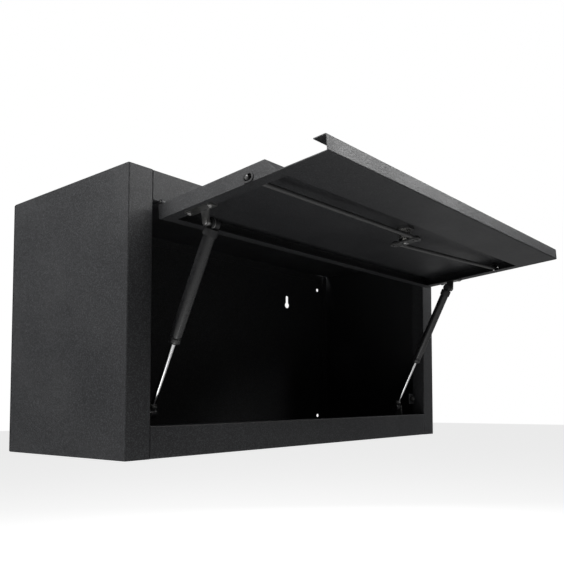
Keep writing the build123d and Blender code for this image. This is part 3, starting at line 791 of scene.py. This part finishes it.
def points_by_island(node, facing, depth):
    """Place of each fastener: its middle, brought to depth below its highest point."""
    mesh = merged_copy(node)
    places, seen = [], set()
    for start in mesh.verts:
        if start in seen:
            continue
        seen.add(start)
        reached, members = [start], []
        while reached:
            vertex = reached.pop()
            members.append(vertex.co.copy())
            for edge in vertex.link_edges:
                other = edge.other_vert(vertex)
                if other not in seen:
                    seen.add(other)
                    reached.append(other)
        heights = [point.dot(facing) for point in members]
        across = [point - facing * height for point, height in zip(members, heights)]
        middle = Vector([(min(p[i] for p in across) + max(p[i] for p in across)) / 2
                         for i in range(3)])
        places.append(middle + facing * (max(heights) - depth))
    mesh.free()
    return places


def weld_mark(radius, relief, facets=24):
    """Shallow dish with a raised rim, as a spot welder leaves it; its foot is just below Z = 0."""
    profile = [
        (0.0, -WELD_FOOT),
        (radius, -WELD_FOOT),
        (radius * 0.94, relief * 0.7),
        (radius * 0.82, relief),
        (radius * 0.66, relief * 0.75),
        (radius * 0.50, relief * 0.35),
        (0.0, relief * 0.25),
    ]
    return to_mesh("weld_mark", lathe(profile, facets), 60)


def cross_screw(head_radius, head_height, shank_radius, shank_length, facets=32):
    """Pan-head screw with a tapered cross recess and a flanged rim."""
    profile = [
        (0.0, -shank_length),
        (shank_radius * 0.6, -shank_length),
        (shank_radius, -shank_length + shank_radius * 0.8),
        (shank_radius, 0.0),
        (head_radius, 0.0),
        (head_radius, head_height * 0.34),
        (head_radius * 0.95, head_height * 0.60),
        (head_radius * 0.80, head_height * 0.84),
        (head_radius * 0.52, head_height * 0.98),
        (0.0, head_height),
    ]
    base = link("screw_blank", to_mesh("screw_blank", lathe(profile, facets), 45))
    length, width, depth = head_radius * 1.15, head_radius * 0.25, head_height * 1.1
    for turn in (0, 90):
        arm = box_shape((length, width, depth), Vector((0, 0, head_height * 0.62 + depth / 4)), 0.55)
        bmesh.ops.rotate(arm, verts=arm.verts, cent=(0, 0, 0),
                         matrix=Matrix.Rotation(math.radians(turn), 3, "Z"))
        mesh = cut(base, link("recess_arm", to_mesh("recess_arm", arm)))
        base = link("screw_blank", mesh)
    mesh = base.data.copy()
    bpy.data.objects.remove(base)
    return mesh


# Operators: one for each piece or group of like pieces


class CABINET_OT_shell(bpy.types.Operator):
    """Coat the panels of the body and the door pan"""

    bl_idname = "cabinet.shell"
    bl_label = "Shell and door"

    def execute(self, context):
        black = coat(context.scene.cabinet)
        for node in ("side_panel_left", "side_panel_right", "top_panel", "bottom_panel",
                     "back_panel", "door_pan", "door_side_left", "door_side_right"):
            paint(node, black)
        return {"FINISHED"}


class CABINET_OT_hinge(bpy.types.Operator):
    """Roll the knuckles of the continuous hinge onto its two leaves"""

    bl_idname = "cabinet.hinge"
    bl_label = "Continuous hinge"

    def execute(self, context):
        settings = context.scene.cabinet
        values = settings.coat
        black = finish_named("hinge_black", powder_coat, "hinge_black", values,
                             tuple(c * 1.25 for c in values.colour[:3]) + (1.0,), 0.4)
        axis = Vector(JOINTS["door_hinge"]["pos_m"])
        pin_low, pin_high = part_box("hinge_pin")
        bore = (pin_high.z - pin_low.z) / 2 + PIN_CLEARANCE
        paint("hinge_pin", zinc())
        closed = math.radians(JOINTS["door_hinge"]["range_deg"][1])
        for node, body, turn, side, first in (
                ("frame_hinge_leaf", "cabinet", 0.0, 1, 0),
                ("door_hinge_leaf", "door", -closed, -1, 1)):
            self.leaf(settings.hinge, node, body, turn, side, first, axis, bore, black)
        return {"FINISHED"}

    def leaf(self, hinge, node, body, turn, side, first, axis, bore, material):
        """One leaf: a plate and a row of rolled knuckles."""
        back = Matrix.Rotation(-turn, 4, "X")
        flat = [back @ (point - axis) for point in points_of(node)]
        outer = -min(point.y for point in flat)
        depth = max(point.y for point in flat)
        half = max(point.x for point in flat)
        plate_y = sorted({round(point.y, 6) for point in flat if abs(point.x) < half + 1 * MM})
        front = next(y for y in plate_y if y > outer)
        low = LEAF_FACE
        high = low + hinge.leaf
        count = (KNUCKLES + 1 - first) // 2
        pitch = 2 * half / KNUCKLES
        plate = bmesh.new()
        add_shape(plate, box_shape((2 * half, depth - front, hinge.leaf),
                                   Vector((0, (front + depth) / 2, side * (low + high) / 2))))
        bmesh.ops.bevel(plate, geom=list(plate.edges), offset=0.2 * MM, segments=2, affect="EDGES")
        lay = Matrix.Translation(axis) @ Matrix.Rotation(turn, 4, "X")
        bmesh.ops.transform(plate, matrix=lay, verts=plate.verts)
        knuckle = self.knuckle(outer, bore, low, high, front, pitch - hinge.knuckle_gap,
                               hinge.slit, side)
        bmesh.ops.transform(knuckle, matrix=Matrix.Rotation(turn, 4, "X"), verts=knuckle.verts)
        source = link("knuckle_one", to_mesh("knuckle_one", knuckle, 35))
        start = axis + Vector((-half + pitch * (first + 0.5), 0, 0))
        piece = grow(node.replace("_leaf", "_rolled"), to_mesh("leaf_plate", plate, 35), row_tree(),
                     Piece=source, Count=count, Start=start, Step=(2 * pitch, 0, 0), Finish=material)
        bpy.data.objects.remove(source)
        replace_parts(piece, node)
        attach(piece, body)

    def knuckle(self, outer, bore, low, high, front, length, slit, side):
        """Strip that leaves the leaf, rolls round the pin and comes back to a slit."""
        start = math.asin(high / outer)
        end = 2 * math.pi + math.asin((low - slit) / outer)
        steps = 28
        angles = [start + (end - start) * i / steps for i in range(steps + 1)]
        outline = [(front, low), (front, high)]
        outline += [(outer * math.cos(a), outer * math.sin(a)) for a in angles]
        outline += [(bore * math.cos(a), bore * math.sin(a)) for a in reversed(angles)
                    if bore * math.cos(a) < math.sqrt(bore ** 2 - low ** 2) or a > math.pi]
        outline.append((math.sqrt(bore ** 2 - low ** 2), low))
        shape = bmesh.new()
        ends = [[shape.verts.new((x, y, side * z)) for y, z in outline]
                for x in (-length / 2, length / 2)]
        for i in range(len(outline)):
            j = (i + 1) % len(outline)
            shape.faces.new((ends[0][i], ends[0][j], ends[1][j], ends[1][i]))
        for end_ring in ends:
            shape.faces.new(end_ring)
        return shape


class CABINET_OT_welds(bpy.types.Operator):
    """Mark the spot welds of both hinge leaves and of the back panel"""

    bl_idname = "cabinet.welds"
    bl_label = "Spot welds"

    def execute(self, context):
        settings = context.scene.cabinet
        values = settings.welds
        axis = Vector(JOINTS["door_hinge"]["pos_m"])
        low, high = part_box("frame_hinge_leaf")
        reach = (high.y + low.y) / 2 - axis.y + values.mark
        columns = self.spread(low.x, high.x, values.pitch)
        for name, body, inward, outward in (
                ("frame_leaf_weld_marks", "cabinet", Vector((0, 1, 0)), Vector((0, 0, -1))),
                ("door_leaf_weld_marks", "door", DOOR_OUT, DOOR_UP)):
            places = [Vector((x, axis.y, axis.z)) + inward * reach - outward * LEAF_FACE
                      for x in columns]
            self.marks(settings, name, body, places, outward)
        low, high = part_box("back_panel")
        places = [Vector((x, high.y, z)) for z in (low.z + WELD_INSET, high.z - WELD_INSET)
                  for x in self.spread(low.x, high.x, values.pitch)]
        places += [Vector((x, high.y, z)) for x in (low.x + WELD_INSET, high.x - WELD_INSET)
                   for z in self.spread(low.z, high.z, values.pitch)]
        self.marks(settings, "back_weld_marks", "cabinet", places, Vector((0, 1, 0)))
        return {"FINISHED"}

    def spread(self, low, high, pitch):
        """Evenly spaced places between two ends, half a step in from each."""
        count = math.ceil((high - low) / pitch)
        return [low + (high - low) * (i + 0.5) / count for i in range(count)]

    def marks(self, settings, name, body, places, outward):
        values = settings.welds
        scatter(name, places, outward, weld_mark(values.mark / 2, values.relief), coat(settings),
                body)


class CABINET_OT_brackets(bpy.types.Operator):
    """Plate the strut brackets and ball studs, and drive their screws"""

    bl_idname = "cabinet.brackets"
    bl_label = "Strut brackets"

    def execute(self, context):
        for side in SIDES:
            for node in ("upper_plate", "lower_bracket", "lower_ball_stud", "upper_ball_stud",
                         "upper_stud_end"):
                paint(f"{node}_{side}", zinc())
        values = context.scene.cabinet.screws
        drive_screws("lower_cross_screws", "lower_bracket_screws", Vector((0, 0, 1)), values,
                     LOWER_SHANK, "cabinet")
        drive_screws("upper_cross_screws", "upper_plate_screws", DOOR_OUT, values, UPPER_SHANK,
                     "door")
        return {"FINISHED"}


class CABINET_OT_struts(bpy.types.Operator):
    """Draw the strut tubes with their rolled grooves, and finish rods and ball sockets"""

    bl_idname = "cabinet.struts"
    bl_label = "Gas struts"

    def execute(self, context):
        values = context.scene.cabinet.struts
        for side in SIDES:
            origin, axis = strut_line(side)
            tilt = math.atan2(-axis.y, axis.z)
            rod = finish_named("ground_chrome", ground_chrome, "ground_chrome", origin, tilt)
            paint(f"strut_rod_{side}", rod)
            paint(f"strut_piston_{side}", zinc())
            paint(f"rod_lock_nut_{side}", zinc())
            for node in ("strut_guide", "lower_socket", "upper_socket"):
                paint(f"{node}_{side}", nylon())
            paint(f"strut_seal_{side}", finish_named("bumper_rubber", soft_rubber))
            self.tube(values, side, origin, axis)
            self.clips(values, side, origin, axis)
        return {"FINISHED"}

    def tube(self, values, side, origin, axis):
        """Drawn tube with a rolled-in end and the groove that holds the guide."""
        node = f"strut_tube_{side}"
        low, high, radius = span_along(node, origin, axis)
        groove, floor = low + values.groove_place, radius - values.groove_depth
        shoulder, half_floor, nose, rounding = 1.6 * MM, 0.7 * MM, 1.9 * MM, 1.0 * MM
        outside = rounded([
            (TUBE_MOUTH, low + TUBE_WALL), (TUBE_MOUTH, low), (radius * 0.80, low),
            (radius, low + nose), (radius, groove - shoulder), (floor, groove - half_floor),
            (floor, groove + half_floor), (radius, groove + shoulder), (radius, high)], rounding)
        inside = [(floor - TUBE_WALL, high), (floor - TUBE_WALL, low + TUBE_WALL)]
        shape = lathe(outside + inside, 48, closed=True)
        bmesh.ops.transform(shape, matrix=turned_to(origin, axis), verts=shape.verts)
        piece = link(f"drawn_tube_{side}", to_mesh("drawn_tube", shape, 35),
                     finish_named("strut_tube_paint", tube_paint))
        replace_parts(piece, node)
        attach(piece, f"strut_tube_{side}")

    def clips(self, values, side, origin, axis):
        """Spring wire round each ball socket."""
        upper = middle_of(f"upper_ball_stud_{side}")
        upper = origin + axis * (upper - origin).dot(axis)
        for name, centre, way, body in (
                ("upper_wire_clip", upper, -axis, f"strut_tube_{side}"),
                ("lower_wire_clip", origin, axis, f"strut_rod_{side}")):
            self.clip(values, f"{name}_{side}", side, centre, way, body)

    def clip(self, values, name, side, centre, way, body):
        """Wire that hugs the socket's barrel and crosses the stud's neck."""
        radius = BARREL_RADIUS + values.wire * 0.3
        outward = Vector((-1 if side == "left" else 1, 0, 0))
        across = way.cross(outward).normalized()
        offset = outward * CLIP_OFFSET
        angles = [CLIP_SWEEP * (i / CLIP_STEPS - 0.5) for i in range(CLIP_STEPS + 1)]
        points = [centre + offset + radius * (across * math.sin(a) - way * math.cos(a))
                  for a in angles]
        ends = points[0] + offset, points[-1] + offset
        piece = bent_wire(name, [ends[0], *points, ends[1]], values.wire, zinc())
        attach(piece, body)


class CABINET_OT_lock(bpy.types.Operator):
    """Finish the lock, its cam and its two rods"""

    bl_idname = "cabinet.lock"
    bl_label = "Rod lock"

    def execute(self, context):
        nickel = finish_named("lock_nickel", turned_nickel)
        for node in ("lock_barrel", "lock_plug"):
            paint(node, nickel)
        for node in ("lock_nut", "lock_cam", "cam_rivets", "lock_rod_left", "lock_rod_right"):
            paint(node, black_zinc())
        paint("cam_screw", zinc())
        for side in SIDES:
            paint(f"rod_guide_{side}", nylon())
        return {"FINISHED"}


class CABINET_OT_bumpers(bpy.types.Operator):
    """Finish the door bumpers"""

    bl_idname = "cabinet.bumpers"
    bl_label = "Door bumpers"

    def execute(self, context):
        paint("door_bumpers", finish_named("bumper_rubber", soft_rubber))
        return {"FINISHED"}


class CABINET_OT_stage(bpy.types.Operator):
    """Lay the floor, hang the lights and set up the camera"""

    bl_idname = "cabinet.stage"
    bl_label = "Stage"

    def execute(self, context):
        values = context.scene.cabinet.stage
        self.floor(values)
        self.lights(values)
        self.camera(values)
        context.scene.view_settings.view_transform = "Standard"
        return {"FINISHED"}

    def floor(self, values):
        """Wide pale floor well below the cabinet."""
        shape = bmesh.new()
        bmesh.ops.create_grid(shape, x_segments=8, y_segments=8, size=14.0)
        for vertex in shape.verts:
            vertex.co.z = CAD_LOW.z - values.floor_drop
        finish = Finish("studio_floor")
        finish.surface(ior=1.4, specular_ior_level=0.2)
        cloud = finish.noise(0.6, 4.0, 0.5)
        colour = tuple(values.floor_colour)[:3]
        tint = finish.ramp(cloud, "Fac", ((0.3, tuple(c * 0.985 for c in colour)), (0.7, colour)))
        finish.join(tint, "Color", finish.shader, "Base Color")
        finish.join(finish.scaled(cloud, "Fac", 0.7, 0.85), "Result", finish.shader, "Roughness")
        seen = finish.node("ShaderNodeLightPath")
        finish.surface(emission_color=(1.0, 1.0, 1.0, 1.0))
        finish.join(finish.scaled(seen, "Is Camera Ray", 0.0, values.floor_glow), "Result",
                    finish.shader, "Emission Strength")
        link("floor", to_mesh("floor", shape), finish.material)

    def lights(self, values):
        """White surroundings that light weakly, and soft lights round the cabinet."""
        world = bpy.data.worlds.new("studio")
        bpy.context.scene.world = world
        world.use_nodes = True
        tree = world.node_tree
        background = tree.nodes["Background"]
        background.inputs["Color"].default_value = (1.0, 1.0, 1.0, 1.0)
        seen = tree.nodes.new("ShaderNodeLightPath")
        strength = tree.nodes.new("ShaderNodeMapRange")
        strength.inputs["To Min"].default_value = values.sky
        strength.inputs["To Max"].default_value = 1.0
        wire(tree, (seen, "Is Camera Ray", strength, "Value"),
             (strength, "Result", background, "Strength"))
        middle = (CAD_LOW + CAD_HIGH) / 2
        for name, place, size, power in (
                ("key", Vector((-1.2, 0.6, 1.8)), 1.2, values.key_power),
                ("over", Vector((0.0, -0.9, 1.0)), 0.7, values.over_power),
                ("under", Vector((-0.42, -0.18, -0.6)), 0.4, values.under_power),
                ("edge", Vector((0.75, -0.85, 0.75)), 0.5, values.edge_power),
                ("fill", Vector((1.9, 1.5, 0.7)), 1.4, values.fill_power)):
            light = bpy.data.lights.new(name, "AREA")
            light.size = size
            light.energy = power
            lamp = link(name, light)
            lamp.visible_camera = False
            lamp.location = middle + place
            lamp.rotation_euler = (-place).to_track_quat("-Z", "Y").to_euler()

    def camera(self, values):
        """Camera at the eye, looking along yaw and pitch."""
        data = bpy.data.cameras.new("camera")
        data.lens = values.lens
        data.sensor_width = 36.0
        data.shift_x = values.shift_x
        data.shift_y = values.shift_y
        data.clip_end = 60.0
        camera = link("camera", data)
        yaw, pitch, roll = values.yaw, values.pitch, values.roll
        forward = Vector((math.sin(yaw) * math.cos(pitch), math.cos(yaw) * math.cos(pitch),
                          math.sin(pitch)))
        level = Vector((math.cos(yaw), -math.sin(yaw), 0))
        upright = level.cross(forward)
        right = level * math.cos(roll) + upright * math.sin(roll)
        up = upright * math.cos(roll) - level * math.sin(roll)
        turn = Matrix((right, up, -forward)).transposed().to_4x4()
        camera.matrix_world = Matrix.Translation(values.eye) @ turn
        bpy.context.scene.camera = camera


class CABINET_PT_sidebar(bpy.types.Panel):
    """Everything that can be built, in order"""

    bl_idname = "CABINET_PT_sidebar"
    bl_label = "Wall cabinet"
    bl_space_type = "VIEW_3D"
    bl_region_type = "UI"
    bl_category = "Cabinet"

    def draw(self, context):
        settings = context.scene.cabinet
        for operator in OPERATORS:
            self.layout.operator(operator.bl_idname)
        for group in (settings.coat, settings.welds, settings.screws, settings.hinge,
                      settings.struts, settings.stage):
            box = self.layout.box()
            for name in group.__annotations__:
                box.prop(group, name)


SETTINGS = (CabinetCoatSettings, CabinetWeldSettings, CabinetScrewSettings,
            CabinetHingeSettings, CabinetStrutSettings, CabinetStageSettings, CabinetSettings)
OPERATORS = (CABINET_OT_stage, CABINET_OT_shell, CABINET_OT_hinge, CABINET_OT_welds,
             CABINET_OT_brackets, CABINET_OT_struts, CABINET_OT_lock, CABINET_OT_bumpers)


def register():
    for item in (*SETTINGS, *OPERATORS, CABINET_PT_sidebar):
        bpy.utils.register_class(item)
    bpy.types.Scene.cabinet = PointerProperty(type=CabinetSettings)


def unregister():
    del bpy.types.Scene.cabinet
    for item in reversed((*SETTINGS, *OPERATORS, CABINET_PT_sidebar)):
        bpy.utils.unregister_class(item)


def main():
    """Build everything."""
    register()
    for operator in OPERATORS:
        group, name = operator.bl_idname.split(".")
        getattr(getattr(bpy.ops, group), name)()


if __name__ == "__main__":
    main()
